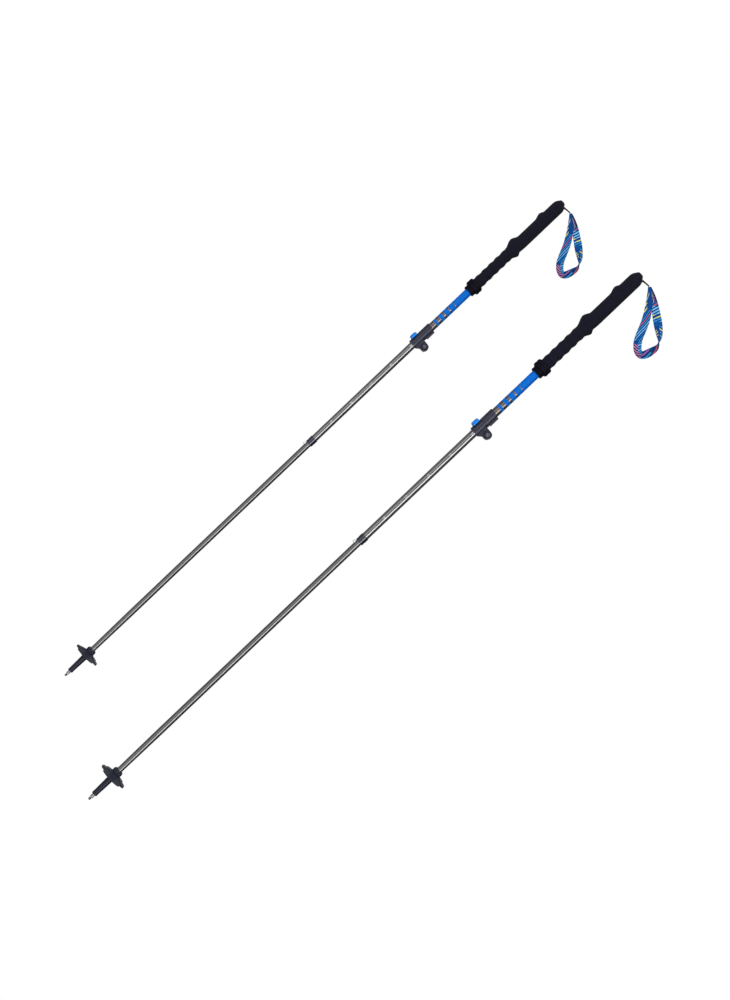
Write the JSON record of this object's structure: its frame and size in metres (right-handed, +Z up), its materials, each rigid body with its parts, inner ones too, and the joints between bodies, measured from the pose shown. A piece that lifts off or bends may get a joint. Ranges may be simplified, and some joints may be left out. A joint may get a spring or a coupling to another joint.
{
  "type": "trekking pole pair",
  "caption": "Pair of adjustable folding trekking poles with lever clamps, wavy foam grips, woven wrist straps and small petal baskets.",
  "frame": {"origin": "flat end of the right pole's point, on that pole's axis", "axes": "+Z up the shafts, +X towards the wrist straps, -Y the front"},
  "size_m": [0.3241, 0.2882, 1.3033],
  "materials": {
    "carbide": "ground tungsten carbide",
    "ferrule_metal": "turned steel, satin",
    "sleeve_plastic": "moulded, fine texture",
    "basket_plastic": "moulded, fine texture",
    "graphite_tube": "graphite anodised, glossy",
    "graduated_tube": "graphite anodised, glossy, with light length marks",
    "blue_tube": "blue anodised, glossy, with dark bands",
    "bright_aluminium": "turned",
    "clamp_plastic": "moulded, satin",
    "lever_plastic": "moulded, satin",
    "tab_plastic": "moulded, satin blue",
    "knob_plastic": "moulded, satin",
    "ring_plastic": "moulded, glossy navy black",
    "inner_plastic": "moulded",
    "bush_plastic": "acetal",
    "screw_steel": "dark zinc",
    "pin_steel": "ground steel",
    "button_steel": "polished",
    "spring_steel": "spring steel strip",
    "cord_fibre": "braided",
    "strap_cord": "braided black",
    "strap_webbing": "woven webbing with coloured stripes",
    "grip_foam": "closed-cell foam, matt",
    "collar_rubber": "moulded, matt"
  },
  "bodies": {
    "right_upper": {"right_upper_tube": "blue_tube", "right_clamp_body": "clamp_plastic", "right_lever_pin": "pin_steel", "right_grip_collar": "collar_rubber", "right_grip": "grip_foam", "right_top_plug": "inner_plastic", "right_strap_pin": "pin_steel"},
    "right_lever": {"right_clamp_lever": "lever_plastic", "right_lever_tab": "tab_plastic"},
    "right_adjuster": {"right_adjuster_knob": "knob_plastic", "right_clamp_screw": "screw_steel"},
    "right_strap": {"right_strap": "strap_webbing", "right_strap_cord": "strap_cord"},
    "right_shaft": {"right_graduated_tube": "graduated_tube", "right_guide_bush": "bush_plastic", "right_joint_ring": "ring_plastic", "right_cord_anchor": "inner_plastic"},
    "right_centre": {"right_centre_tube": "graphite_tube", "right_fold_ferrule": "bright_aluminium", "right_tension_cord": "cord_fibre", "right_button_spring": "spring_steel"},
    "right_button": {"right_snap_button": "button_steel"},
    "right_tip": {"right_tip_tube": "graphite_tube", "right_cord_stopper": "inner_plastic", "right_tip_sleeve": "sleeve_plastic", "right_tip_ferrule": "ferrule_metal", "right_carbide_tip": "carbide"},
    "right_basket": {"right_basket": "basket_plastic"},
    "right_nut": {"right_basket_nut": "basket_plastic"},
    "left_upper": {"left_upper_tube": "blue_tube", "left_clamp_body": "clamp_plastic", "left_lever_pin": "pin_steel", "left_grip_collar": "collar_rubber", "left_grip": "grip_foam", "left_top_plug": "inner_plastic", "left_strap_pin": "pin_steel"},
    "left_lever": {"left_clamp_lever": "lever_plastic", "left_lever_tab": "tab_plastic"},
    "left_adjuster": {"left_adjuster_knob": "knob_plastic", "left_clamp_screw": "screw_steel"},
    "left_strap": {"left_strap": "strap_webbing", "left_strap_cord": "strap_cord"},
    "left_shaft": {"left_graduated_tube": "graduated_tube", "left_guide_bush": "bush_plastic", "left_joint_ring": "ring_plastic", "left_cord_anchor": "inner_plastic"},
    "left_centre": {"left_centre_tube": "graphite_tube", "left_fold_ferrule": "bright_aluminium", "left_tension_cord": "cord_fibre", "left_button_spring": "spring_steel"},
    "left_button": {"left_snap_button": "button_steel"},
    "left_tip": {"left_tip_tube": "graphite_tube", "left_cord_stopper": "inner_plastic", "left_tip_sleeve": "sleeve_plastic", "left_tip_ferrule": "ferrule_metal", "left_carbide_tip": "carbide"},
    "left_basket": {"left_basket": "basket_plastic"},
    "left_nut": {"left_basket_nut": "basket_plastic"}
  },
  "joints": [
    {"name": "right_length_slide", "type": "slide", "parent": "right_upper", "child": "right_shaft", "axis": [0, 0, 1], "range_m": [0, 0.2]},
    {"name": "right_lever_swing", "type": "hinge", "parent": "right_upper", "child": "right_lever", "pos_m": [0.0172, 0.0106, 0.8873], "axis": [0, 0, -1], "range_deg": [0, 130]},
    {"name": "right_adjuster_turn", "type": "hinge", "parent": "right_upper", "child": "right_adjuster", "pos_m": [0.0172, 0, 0.8873], "axis": [0, -1, 0], "range_deg": [-180, 180]},
    {"name": "right_strap_swing", "type": "hinge", "parent": "right_upper", "child": "right_strap", "pos_m": [0.004, 0, 1.245], "axis": [0, 1, 0], "range_deg": [0, 30], "stiffness_Nm_per_rad": 0.2},
    {"name": "right_release_slide", "type": "slide", "parent": "right_shaft", "child": "right_centre", "axis": [0, 0, 1], "range_m": [0, 0.045], "deforming": ["right_snap_button", "right_tension_cord"]},
    {"name": "right_button_press", "type": "slide", "parent": "right_centre", "child": "right_button", "axis": [1, 0, 0], "range_m": [0, 0.0035], "stiffness_N_per_m": 900, "deforming": ["right_button_spring"]},
    {"name": "right_fold_pull", "type": "slide", "parent": "right_centre", "child": "right_tip", "axis": [0, 0, -1], "range_m": [0, 0.045], "stiffness_N_per_m": 60, "springref_m": -0.06, "deforming": ["right_tension_cord"]},
    {"name": "right_basket_turn", "type": "hinge", "parent": "right_tip", "child": "right_basket", "pos_m": [0, 0, 0.055], "axis": [0, 0, 1], "range_deg": [0, 90]},
    {"name": "right_nut_turn", "type": "hinge", "parent": "right_tip", "child": "right_nut", "pos_m": [0, 0, 0.066], "axis": [0, 0, 1], "range_deg": [0, 270]},
    {"name": "left_pole_beside", "type": "slide", "parent": "right_upper", "child": "left_upper", "axis": [0, -1, 0], "range_m": [0, 0.24]},
    {"name": "left_length_slide", "type": "slide", "parent": "left_upper", "child": "left_shaft", "axis": [0, 0, 1], "range_m": [0, 0.2]},
    {"name": "left_lever_swing", "type": "hinge", "parent": "left_upper", "child": "left_lever", "pos_m": [-0.1713, 0.2506, 0.9386], "axis": [0, 0, -1], "range_deg": [0, 130]},
    {"name": "left_adjuster_turn", "type": "hinge", "parent": "left_upper", "child": "left_adjuster", "pos_m": [-0.1713, 0.24, 0.9386], "axis": [0, -1, 0], "range_deg": [-180, 180]},
    {"name": "left_strap_swing", "type": "hinge", "parent": "left_upper", "child": "left_strap", "pos_m": [-0.1845, 0.24, 1.2963], "axis": [0, 1, 0], "range_deg": [0, 30], "stiffness_Nm_per_rad": 0.2},
    {"name": "left_release_slide", "type": "slide", "parent": "left_shaft", "child": "left_centre", "axis": [0, 0, 1], "range_m": [0, 0.045], "deforming": ["left_snap_button", "left_tension_cord"]},
    {"name": "left_button_press", "type": "slide", "parent": "left_centre", "child": "left_button", "axis": [1, 0, 0], "range_m": [0, 0.0035], "stiffness_N_per_m": 900, "deforming": ["left_button_spring"]},
    {"name": "left_fold_pull", "type": "slide", "parent": "left_centre", "child": "left_tip", "axis": [0, 0, -1], "range_m": [0, 0.045], "stiffness_N_per_m": 60, "springref_m": -0.06, "deforming": ["left_tension_cord"]},
    {"name": "left_basket_turn", "type": "hinge", "parent": "left_tip", "child": "left_basket", "pos_m": [-0.1885, 0.24, 0.1063], "axis": [0, 0, 1], "range_deg": [0, 90]},
    {"name": "left_nut_turn", "type": "hinge", "parent": "left_tip", "child": "left_nut", "pos_m": [-0.1885, 0.24, 0.1173], "axis": [0, 0, 1], "range_deg": [0, 270]}
  ]
}
